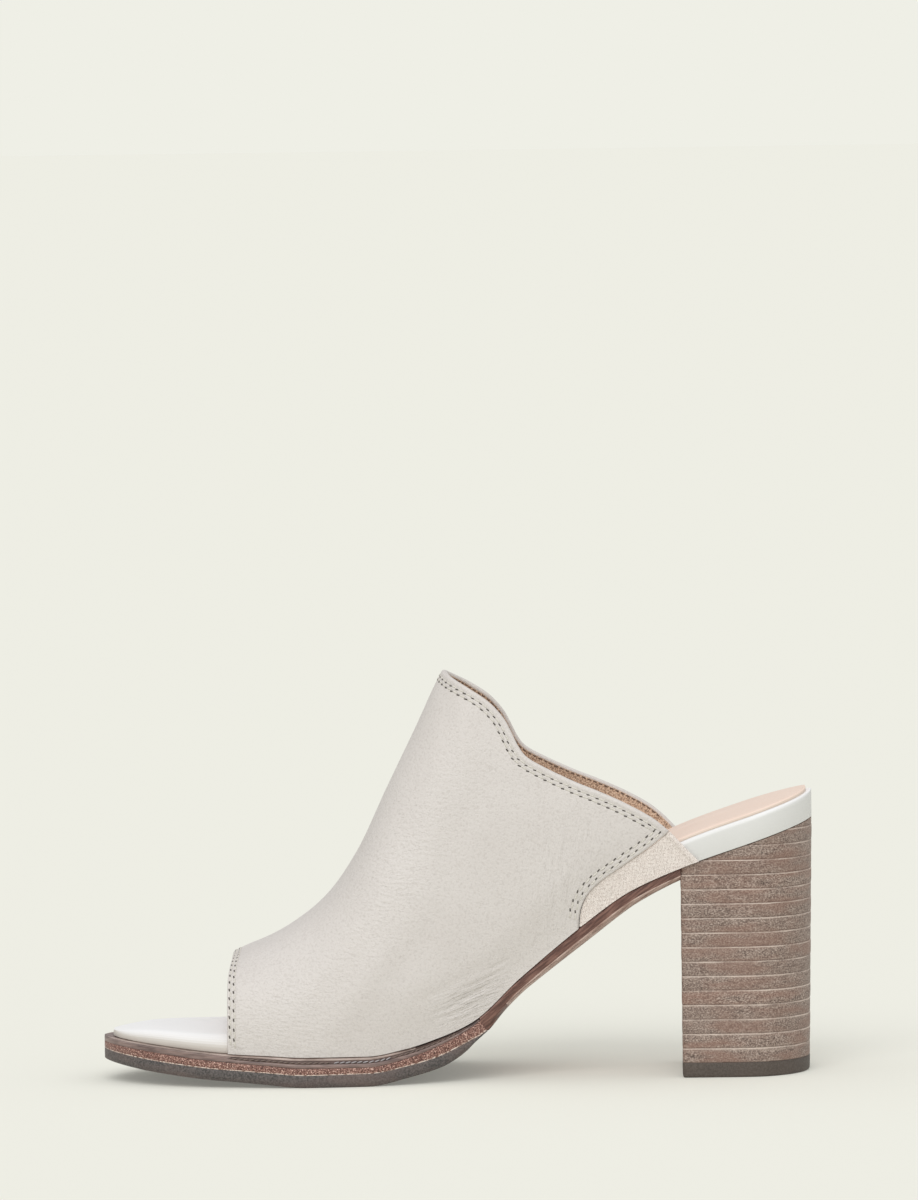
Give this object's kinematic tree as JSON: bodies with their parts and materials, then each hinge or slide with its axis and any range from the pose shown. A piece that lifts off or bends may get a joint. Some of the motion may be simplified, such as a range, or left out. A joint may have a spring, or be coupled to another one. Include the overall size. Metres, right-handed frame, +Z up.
{
  "type": "mule shoe",
  "caption": "Open-toe leather mule with a high vamp, an elastic side gore, a wrapped footbed and a stacked block heel.",
  "frame": {"origin": "on the ground under the middle of the shoe's bounding box", "axes": "+X towards the heel's back, so the toe points to -X; +Z up; -Y is the medial side of this right shoe"},
  "size_m": [0.233, 0.0838, 0.1331],
  "materials": {
    "vamp_leather": "soft satin, fine grain",
    "elastic": "matt woven elastic",
    "footbed_leather": "satin",
    "sock_leather": "smooth satin",
    "welt": "polished edge",
    "sole_leather": "stained and burnished edge",
    "sole_rubber": "matt",
    "heel_leather": "sanded and stained stack",
    "heel_rubber": "matt"
  },
  "bodies": {
    "root": {"upper": "vamp_leather", "gore": "elastic", "footbed": "footbed_leather", "heel_sock": "sock_leather", "welt": "welt", "leather_sole": "sole_leather", "rubber_forepart": "sole_rubber", "heel_top_piece": "heel_rubber", "heel_lift_01": "heel_leather", "heel_lift_02": "heel_leather", "heel_lift_03": "heel_leather", "heel_lift_04": "heel_leather", "heel_lift_05": "heel_leather", "heel_lift_06": "heel_leather", "heel_lift_07": "heel_leather", "heel_lift_08": "heel_leather", "heel_lift_09": "heel_leather", "heel_lift_10": "heel_leather", "heel_lift_11": "heel_leather", "heel_lift_12": "heel_leather", "heel_lift_13": "heel_leather", "heel_lift_14": "heel_leather", "heel_lift_15": "heel_leather", "heel_lift_16": "heel_leather", "heel_lift_17": "heel_leather"}
  },
  "joints": []
}
